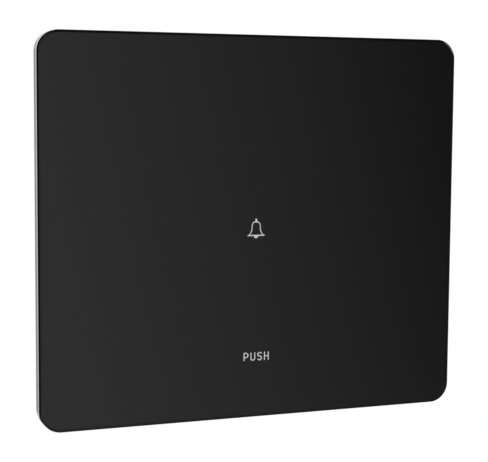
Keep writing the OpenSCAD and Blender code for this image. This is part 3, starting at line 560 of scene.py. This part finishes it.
low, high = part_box("board_screws")
pan_r, pan_h, cross_w, cross_reach = 1.9, 1.3, 0.55, 1.2
pan_core_r, pan_thread_r, pan_l, tip_l, tip_r, coarse_pitch = 0.7, 1.0, 8.3, 0.6, 0.2, 0.9
dome = np.radians(np.linspace(25, 90, 5))
pan_profile = np.r_[
    head_face(cross_w, 4, cross_reach - hair), [(cross_reach + hair, 0, 0)],
    np.stack([pan_r * np.sin(dome), pan_h / 2 * (1 - np.cos(dome)), 0 * dome], -1)[2:],
    [(pan_r, pan_h - bevel / 2, 0), (pan_r - bevel / 2, pan_h, 0), (pan_thread_r, pan_h, 0)],
    threaded(pan_core_r, pan_thread_r, pan_h + bevel, pan_l - tip_l, coarse_pitch),
    [(pan_core_r, pan_l - tip_l + 2 * hair, 0), (tip_r, pan_l, 0)]]
pan_x = high.x - pan_r * mm
zinc_screws("pan_screws", "board_screws", pan_profile, [(-pan_x, 0), (pan_x, 0)], blades=4, slot_w=cross_w,
            reach=cross_reach, pitch=coarse_pitch)


# Rear cover: a flat lid moulded in the same grey in a tool with a coarser grain, so a shade lighter than the
# chamber. It has a lip inside and a notch for the terminal block, and four countersunk screws hold it to
# posts in the corners.

cover_abs = moulding("cover_abs", (0.043, 0.044, 0.048), (0.058, 0.060, 0.065), rough=0.6,
                     grain_height=0.05 * mm, scale=2200.0)
dress(nodes["rear_cover"], cover_abs)
low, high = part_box("cover_screws")
sunk_r, sunk_h, sunk_edge, sunk_drop = 2.1, 1.0, 0.1, 0.04
sunk_core_r, sunk_thread_r, sunk_l = 0.78, 1.1, 8.0
sunk_profile = np.r_[
    head_face(cross_w, 4, cross_reach - hair),
    [(cross_reach + hair, 0, 0), (sunk_r - sunk_edge, 0, 0), (sunk_r - sunk_edge / 2, sunk_drop, 0),
     (sunk_thread_r, sunk_h, 0)],
    threaded(sunk_core_r, sunk_thread_r, sunk_h + bevel / 3, sunk_l - tip_l - bevel, coarse_pitch),
    [(sunk_core_r, sunk_l - tip_l - bevel + 2 * hair, 0), (tip_r, sunk_l, 0)]]
sunk_places = four_ways(high.x - sunk_r * mm, high.z - sunk_r * mm)
zinc_screws("sunk_screws", "cover_screws", sunk_profile, sunk_places, blades=4, slot_w=cross_w,
            reach=cross_reach, pitch=coarse_pitch)


# Key carrier: the black moulding behind the glass, cored out at the back, with the four snap posts that
# slide in the bushes and the boss that works the switch.

black_abs = moulding("black_abs", (0.014, 0.014, 0.015), (0.022, 0.022, 0.024), rough=0.5,
                     grain_height=0.02 * mm, scale=4000.0, rub_light=1.4)
dress(nodes["key_carrier"], black_abs)


# Light guide: a clear acrylic plate let into the carrier, with a pipe down to the lamp. Its back carries
# a fine pattern of dots that throws the light forward.

acrylic, tree, skin = finish("clear_acrylic", Base_Color=(0.93, 0.95, 0.95, 1.0), Transmission_Weight=1.0,
                             IOR=1.49)
dots = put(tree, "TexVoronoi", {"Vector": own_place(tree), "Scale": 900.0}, feature="F1")
dot = mask_of(tree, dots.outputs["Distance"], 0.4, 0.3)
feed(tree, skin, Roughness=spread(tree, dot, 0.06, 0.4), Normal=raised(tree, dot, 0.4, 0.02 * mm))
dress(nodes["light_guide"], acrylic)


# Return springs: four coils of drawn steel wire, one round each post, between its bush and the carrier.
# Their end turns are closed, and they shorten as the plate goes in.

low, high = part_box("return_springs")
return_wire, return_coil_r = 0.5 * mm, 2.35 * mm
post_x, post_z = high.x - return_coil_r - return_wire / 2, high.z - return_coil_r - return_wire / 2
spring("return_coils", "return_springs", return_coil_r, return_wire, turns=6, closed_turns=1,
       centres=four_ways(post_x, post_z))


# Rim: a drawn aluminium frame, brushed along its length and clear anodised. A low wall runs round the plate
# and turns in to a ledge under the glass; the wall rolls in a little towards its back edge.

def plate_ring(half_w, half_h, radius, key_l, key_d=0.0, steps=16):
    """Closed path of a rectangle with round corners, (half - r) + r (cos a, sin a), anticlockwise from the
    right. In the middle of each side a key of length key_l steps outwards by key_d."""
    quarter = np.arange(4)[:, None]
    a = np.linspace(0, pi / 2, steps + 1)[None] + pi / 2 * quarter
    sx, sz = np.array([1, -1, -1, 1])[:, None], np.array([1, 1, -1, -1])[:, None]
    corner = np.stack([sx * (half_w - radius) + radius * np.cos(a),
                       sz * (half_h - radius) + radius * np.sin(a)], -1)
    out = np.round(np.stack([np.cos(pi / 2 * (quarter + 1)), np.sin(pi / 2 * (quarter + 1))], -1))
    go = np.stack([-out[..., 1], out[..., 0]], -1)
    middle = out * np.array([half_w, half_h])
    half_key, step = key_l / 2, 0.01 * mm
    ends = np.array([-half_key - step, -half_key + step, half_key - step, half_key + step])[None, :, None]
    proud = np.array([0.0, key_d, key_d, 0.0])[None, :, None]
    return np.concatenate([corner, middle + go * ends + out * proud], 1).reshape(-1, 2)


def plate_rings(profile, half_w, half_h, corner_r, least_r, key_l):
    """A profile of (inset, depth, key) carried round the plate's outline: each row is the outline moved in
    by its inset, with the corner radius less by as much."""
    rows = [np.insert(plate_ring(half_w - i, half_h - i, max(corner_r - i, least_r), key_l, k), 1, y, axis=1)
            for i, y, k in profile]
    return np.stack(rows)


low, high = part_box("rim_frame")
rim_half_w, rim_half_h = high.x, high.z
rim_front, rim_back = low.y, high.y
corner_r, ledge_r = 4.5 * mm, 2 * mm
wall, ledge_in, ledge_t = 1.3 * mm, 7.3 * mm, 0.8 * mm
key_l, key_d = 8 * mm, 1.5 * mm
arris, back_edge = 0.02 * mm, 0.12 * mm
broken = 0.3
roll_from, roll_in = 1.8 * mm, 0.07 * mm
s = np.linspace(0, 1, 6)[1:]
rolled = np.stack([roll_in * s ** 2, rim_back - back_edge - (1 - s) * (roll_from - back_edge), 0 * s], -1)
rim_profile = np.r_[
    [(arris, rim_front, 0), (broken * arris, rim_front + broken * arris, 0), (0, rim_front + arris, 0),
     (0, rim_back - roll_from, 0)],
    rolled,
    [(roll_in + broken * back_edge, rim_back - broken * back_edge, 0), (roll_in + back_edge, rim_back, 0),
     (wall - arris, rim_back, 0), (wall, rim_back - arris, 0), (wall, rim_front + ledge_t, 0),
     (ledge_in, rim_front + ledge_t, key_d), (ledge_in, rim_front, key_d)]]
rim = from_grid("brushed_rim", plate_rings(rim_profile, rim_half_w, rim_half_h, corner_r, ledge_r, key_l),
                closed=True, sharp=30)
satin_aluminium = bare_metal("satin_aluminium", (0.74, 0.745, 0.755), (0.80, 0.805, 0.815), rough=0.2,
                             along=120.0, across=12000.0, depth=0.0008 * mm)
dress(rim, satin_aluminium)
stands_for(rim, "rim_frame", "push_cap")


# Bonding tape: black double-sided acrylic foam between the rim's ledge and the glass, die-cut in one piece
# with a window for the light guide. The press squeezes it out until it is almost flush with the glass.

low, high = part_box("bonding_tape")
tape_short = 0.02 * mm
tape_edge = plate_ring(rim_half_w - tape_short, rim_half_h - tape_short, corner_r - tape_short, key_l)
window_half_w, window_half_h, window_r, window_drop = 5 * mm, 18.5 * mm, 2 * mm, 13.5 * mm
window_edge = plate_ring(window_half_w, window_half_h, window_r, key_l / 2) - [0, window_drop]
tape_rows = [np.insert(edge, 1, y, axis=1) for edge, y in (
    (tape_edge, high.y), (tape_edge, low.y), (window_edge, low.y), (window_edge, high.y))]
tape = from_grid("foam_tape", tape_rows, closed=True)
black_tape = moulding("black_tape", (0.003, 0.003, 0.003), (0.006, 0.006, 0.006), rough=0.75,
                      grain_height=0.02 * mm, scale=7000.0, rub_light=1.0, Specular_IOR_Level=0.1)
dress(tape, black_tape)
stands_for(tape, "bonding_tape", "push_cap")


# Front glass: a toughened plate, printed black behind. The front edge is chamfered and polished like the
# face; the sides and the outer seam of the chamfer are ground and blackened. The face is even, with only the
# faintest smears of handling.

low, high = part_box("front_glass")
ink_t = 0.02 * mm
ink_face, face, back = low.y, low.y + ink_t, high.y
chamfer_w, chamfer_d = 0.56 * mm, 0.45 * mm
lean = chamfer_d / chamfer_w
blend, seam, back_break = 0.04 * mm, 0.06 * mm, 0.06 * mm
back_row, near_row, far_row = 0.5 * mm, 0.4 * mm, 2 * mm
half = broken * blend
ground_rows = [
    (back_row, back, 0), (back_break, back, 0), (0, back - back_break, 0), (0, face + chamfer_d + blend, 0),
    (half, face + chamfer_d - half * lean, 0)]
polished_rows = [
    (seam, face + chamfer_d - seam * lean, 0), (chamfer_w - half, face + half * lean, 0),
    (chamfer_w + blend, face, 0), (chamfer_w + near_row, face, 0), (chamfer_w + far_row, face, 0)]
polished, ground = 0, 1
glass_rings = plate_rings(ground_rows + polished_rows, high.x, high.z, corner_r, ledge_r, key_l)
glass_sides = [ground] * len(ground_rows) + [polished] * len(polished_rows)
glass = from_grid("glass_plate", glass_rings, sharp=12, sides=glass_sides)

# Smears: broad soft noise, pressed towards its high end, for places where fingers have dulled a shine.
smears, ends_in, ends_out = effect("smears", ["Place"], {"Scale": 45.0}, ["Mask"])
cloud = noise(smears, ends_in.outputs["Place"], ends_in.outputs["Scale"], Detail=5.0, Roughness=0.6,
              Distortion=0.4)
feed(smears, ends_out, Mask=mask_of(smears, cloud, 0.45, 0.8))

black_glass, tree, skin = finish("black_glass", IOR=1.5)
place = own_place(tree)
handled = put(tree, "Group", {"Place": place, "Scale": 40.0}, node_tree=smears)
ink = noise(tree, place, 700.0, Detail=2.0)
feed(tree, skin, Base_Color=tones(tree, ink, (0.0036, 0.0036, 0.0037), (0.0044, 0.0044, 0.0045)),
     Roughness=spread(tree, handled.outputs["Mask"], 0.16, 0.20))


def fine_coat(name, dark, light, smooth, rough, **plain):
    """A thin dull coat: speckled from dark to light, with a roughness that drifts between two values."""
    material, tree, skin = finish(name, **plain)
    grain = put(tree, "Group", {"Place": own_place(tree), "Scale": 9000.0}, node_tree=mould_grain)
    feed(tree, skin, Base_Color=tones(tree, grain.outputs["Height"], dark, light),
         Roughness=spread(tree, grain.outputs["Tone"], smooth, rough))
    return material


blackened = fine_coat("blackened_edge", (0.002, 0.002, 0.002), (0.005, 0.005, 0.005), 0.55, 0.7,
                      Specular_IOR_Level=0.0)
dress(glass, black_glass, blackened)
stands_for(glass, "front_glass", "push_cap")


# Legend: a bell sign in the middle of the plate and the word PUSH below it, screen-printed in pale grey ink
# and fired on. Every stroke is a flat film with round ends.

def rounded_off(d):
    """Half width of a half circle at distance d from its middle, sqrt(1 - d^2), which ends in a sliver."""
    sliver = 0.0004
    return np.sqrt(np.clip(1 - d ** 2, sliver, 1))


def inked(path, half_w, points=64):
    """One stroke of ink: a flat band of the given half width (a number, or one for each point) carried along
    a path in the plate's plane. A band of even width is lengthened by a half circle at each end."""
    path = np.asarray(path, float)
    if np.ndim(half_w) == 0:
        d = np.sin(np.linspace(0, pi / 2, 7))[1:]
        tip_a, tip_b = path[0] - path[1], path[-1] - path[-2]
        tip_a, tip_b = (half_w * tip / np.linalg.norm(tip) for tip in (tip_a, tip_b))
        taper = half_w * rounded_off(d)
        half_w = np.r_[taper[::-1], np.full(len(path), half_w), taper]
        path = np.r_[path[0] + d[::-1, None] * tip_a, path, path[-1] + d[:, None] * tip_b]
    place = np.linspace(0, len(path) - 1, points)
    x, z, width = (mm * np.interp(place, np.arange(len(path)), v) for v in (path[:, 0], path[:, 1], half_w))
    go = np.gradient(np.stack([x, z], -1), axis=0)
    go /= np.linalg.norm(go, axis=1, keepdims=True)
    side_x, side_z = -go[:, 1] * width, go[:, 0] * width
    front, behind = np.full(points, ink_face), np.full(points, face + 0.5 * ink_t)
    ring = [np.stack([x + s * side_x, y, z + s * side_z], -1)
            for s, y in ((1, front), (-1, front), (-1, behind), (1, behind))]
    return np.stack(ring, 1)


def printed(name, strokes):
    """All strokes of one sign as one piece, each a little behind the last, so that none share a plane."""
    step = 0.002 * mm
    grid = np.stack(strokes)
    grid[..., 1] += step * np.arange(len(strokes))[:, None, None]
    return from_grid(name, grid, sharp=30)


def arc(x, z, rx, rz, start, end, count=20):
    """Points of an ellipse about (x, z) between two angles in degrees."""
    a = np.radians(np.linspace(start, end, count))
    return np.stack([x + rx * np.cos(a), z + rz * np.sin(a)], -1)


line, sill_line, knob_line = 0.11, 0.14, 0.22
bell_x, sill = -0.45, -1.56
bell_side = np.r_[arc(0, 0.5, 1.0, 1.05, 90, 12, 16),
                  [(1.0, 0.3), (1.0, 0.0), (1.04, -0.35), (1.14, -0.7), (1.32, -1.05), (1.62, -1.4)]]
mirror = np.array([-1.0, 1.0])
clapper_r, clapper_drop = 0.55, 0.1
half_disc = np.linspace(0, 1, 12)
clapper = np.stack([0 * half_disc, sill - clapper_drop - clapper_r * half_disc], -1)
bell_lines = [
    (np.r_[(bell_side * mirror)[:0:-1], bell_side], line),
    (np.array([(-1.94, sill), (-1.0, sill), (1.0, sill), (1.94, sill)]), sill_line),
    (np.array([(0, 1.5), (0, 1.75), (0, 2.0)]), knob_line),
    (clapper, clapper_r * rounded_off(half_disc))]
bell_sign = printed("bell_sign", [inked(path + [bell_x, 0], half_w) for path, half_w in bell_lines])

thin = 0.125
foot, top = -29.88, -28.2
tall = top - foot
letter_w, gap, word_x = 0.93, 0.47, -3.12
bowl, half_letter, quarter = 0.5, letter_w / 2, tall / 4
straight = tall * 0.7
stub = 0.2
letter_x = word_x + (letter_w + 2 * thin + gap) * np.arange(4)


def at(letter, points):
    """Points of a letter moved to its place on the word's line."""
    return np.asarray(points, float) + [letter_x[letter], foot]


letters = [
    at(0, [(0, 0), (0, tall / 2), (0, tall)]),
    at(0, np.r_[[(0, tall), (stub, tall)], arc(letter_w - bowl, tall - bowl, bowl, bowl, 90, -90),
                [(stub, tall - 2 * bowl), (0, tall - 2 * bowl)]]),
    at(1, np.r_[[(0, tall), (0, straight)],
                arc(half_letter, half_letter, half_letter, half_letter, 180, 360),
                [(letter_w, straight), (letter_w, tall)]]),
    at(2, np.r_[arc(half_letter, tall - quarter, half_letter, quarter, 30, 270),
                arc(half_letter, quarter, half_letter, quarter, 90, -150)[1:]]),
    at(3, [(0, 0), (0, tall / 2), (0, tall)]),
    at(3, [(letter_w, 0), (letter_w, tall / 2), (letter_w, tall)]),
    at(3, [(0, tall / 2), (half_letter, tall / 2), (letter_w, tall / 2)])]
word = printed("push_word", [inked(path, thin) for path in letters])

pale_ink = fine_coat("pale_grey_ink", (0.55, 0.55, 0.55), (0.64, 0.64, 0.64), 0.5, 0.65,
                     Specular_IOR_Level=0.25)
for sign in (bell_sign, word):
    dress(sign, pale_ink)
    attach(sign, "push_cap")


# Studio: a pale floor well below the plate that runs out to white, soft lamps, and cards that only shine in
# glossy surfaces. The front card is graded, so that the face goes from grey at the left to nearly black at
# the right.

def panel(name, corner, side_a, side_b):
    """A flat card from one corner along two sides: corner + s a + t b."""
    corner, side_a, side_b = (np.array(v, float) for v in (corner, side_a, side_b))
    mesh = bpy.data.meshes.new(name)
    corners = [corner, corner + side_a, corner + side_a + side_b, corner + side_b]
    mesh.from_pydata(corners, [], [(0, 1, 2, 3)])
    made = put_in_scene(name, mesh)
    return made


def shown_white(tree):
    """1 for rays of the camera, of gloss and of glass, which see the studio's white, and 0 for the rest."""
    rays = put(tree, "LightPath").outputs
    seen = reckon(tree, "MAXIMUM", rays["Is Camera Ray"], rays["Is Glossy Ray"])
    return reckon(tree, "MAXIMUM", seen, rays["Is Transmission Ray"])


floor_z = -0.12
fade_from, fade_to = 0.10, 0.24
floor = panel("floor", (-3, -3, floor_z), (6, 0, 0), (0, 6, 0))
pale_floor, tree, skin = finish("pale_floor", Roughness=0.9, Specular_IOR_Level=0.0)
place = own_place(tree)
paper = noise(tree, place, 300.0, Detail=3.0)
feed(tree, skin, Base_Color=tones(tree, paper, (0.86, 0.86, 0.86), (0.90, 0.90, 0.90)))
apart = put(tree, "VectorMath", {0: place, 1: (0, 0, floor_z)}, operation="DISTANCE")
far = mask_of(tree, apart.outputs["Value"], fade_from, fade_to, interpolation_type="SMOOTHSTEP")
white_there = reckon(tree, "MULTIPLY", far, shown_white(tree))
white = put(tree, "Emission", {"Color": (1, 1, 1, 1), "Strength": 1.0})
runs_out = put(tree, "MixShader", {0: white_there, 1: skin.outputs[0], 2: white.outputs[0]})
feed(tree, tree.nodes["Material Output"], Surface=runs_out.outputs[0])
dress(floor, pale_floor)


def card(name, corner, side_a, side_b, base, slope=(0, 0, 0), least=0.0, most=1.0):
    """A studio card that only glossy surfaces see. Its light is base + slope . place, kept within limits."""
    made = panel(name, corner, side_a, side_b)
    made.visible_camera = made.visible_diffuse = made.visible_shadow = made.visible_transmission = False
    material = bpy.data.materials.new(name)
    material.use_nodes = True
    tree = material.node_tree
    tree.nodes.remove(tree.nodes["Principled BSDF"])
    along = put(tree, "VectorMath", {0: own_place(tree), 1: slope}, operation="DOT_PRODUCT")
    light = put(tree, "MapRange", {"Value": along.outputs["Value"], "From Min": least - base,
                                   "From Max": most - base, "To Min": least, "To Max": most})
    glow = put(tree, "Emission", {"Strength": light.outputs["Result"]})
    feed(tree, tree.nodes["Material Output"], Surface=glow.outputs[0])
    dress(made, material)


foot_z = floor_z + 0.005
front_y, behind_y = -0.22, 0.22
card("front_card", (-0.35, front_y, foot_z), (0.9, 0, 0), (0, 0, 0.45), base=0.581,
     slope=(-2.724, 0, -0.646), least=0.05, most=0.64)
card("left_card", (-0.3, front_y + 0.005, foot_z), (0, 0.275, 0), (0, 0, 0.26), base=0.5)
card("corner_card", (-1.0, -0.6, 0.4), (0.95, 0, 0.6), (0, 0.9, 0), base=0.0, slope=(-0.45, 0, 0), most=0.45)
card("top_card", (-0.05, -0.6, 1.0), (1.2, 0, 0), (0, 1.4, 0), base=0.0)
card("back_card", (-0.25, behind_y, foot_z), (0.125, 0, 0), (0, 0, 0.065 - foot_z), base=0.675,
     slope=(0, 0, 1.5), least=0.57, most=0.66)
card("behind_card", (-0.125, behind_y, foot_z), (0.175, 0, 0), (0, 0, 0.105 - foot_z), base=-2.39,
     slope=(-12, 0, 30), least=0.27, most=0.4)
card("foot_card", (-0.08, behind_y - 0.005, foot_z), (0.095, 0, 0), (0, 0, 0.02), base=0.75)
card("right_card", (0.5, 0.05, foot_z), (0, 0.45, 0), (0, 0, 0.25), base=0.05)
card("under_card", (-0.08, -0.2, foot_z), (0.63, 0, 0), (0, 0.5, 0), base=0.22, slope=(-1.6, 0, 0),
     least=0.05, most=0.24)
card("low_card", (-0.25, -0.2, foot_z), (0.17, 0, 0), (0, 0.4, 0), base=-0.057, slope=(-3.71, 0, 0),
     least=0.24, most=0.5)


def soft_lamp(name, place, size, power):
    """A square soft box at a place, turned to the middle of the plate."""
    data = bpy.data.lights.new(name, "AREA")
    data.shape, data.size, data.energy = "SQUARE", size, power
    lamp = put_in_scene(name, data)
    turned = Vector(place).to_track_quat("Z", "Y").to_matrix().to_4x4()
    lamp.matrix_world = Matrix.Translation(place) @ turned


soft_lamp("key_lamp", (-0.55, -0.65, 0.75), size=0.5, power=5.5)
soft_lamp("back_lamp", (0.5, 0.7, 0.6), size=0.6, power=6.0)

world = bpy.data.worlds.new("white_studio")
bpy.context.scene.world = world
world.use_nodes = True
tree = world.node_tree
sky = tree.nodes["Background"]
sky.inputs["Color"].default_value = (1, 1, 1, 1)
plain_light, shown_light = 0.5, 1.0
feed(tree, sky, Strength=spread(tree, shown_white(tree), plain_light, shown_light))


# Camera: where the photograph was taken from, a little to the left of the plate and above its middle. Its
# place and its directions to the right, upwards and ahead were worked out from the plate's four edges.

lens = bpy.data.cameras.new("photo_camera")
lens.sensor_width, lens.lens = 36.0, 97.434
lens.clip_start, lens.clip_end = 0.01, 20.0
right, up = np.array([0.932931, -0.359980, 0.007320]), np.array([0.027434, 0.091340, 0.995442])
ahead = np.array([0.359008, 0.928478, -0.095089])
stand = np.array([-0.109210, -0.280917, 0.027538])
turn = np.eye(4)
turn[:3] = np.stack([right, up, -ahead, stand], -1)
camera = put_in_scene("photo_camera", lens)
camera.matrix_world = Matrix(turn.tolist())
bpy.context.scene.camera = camera
bpy.context.scene.view_settings.view_transform = "Standard"
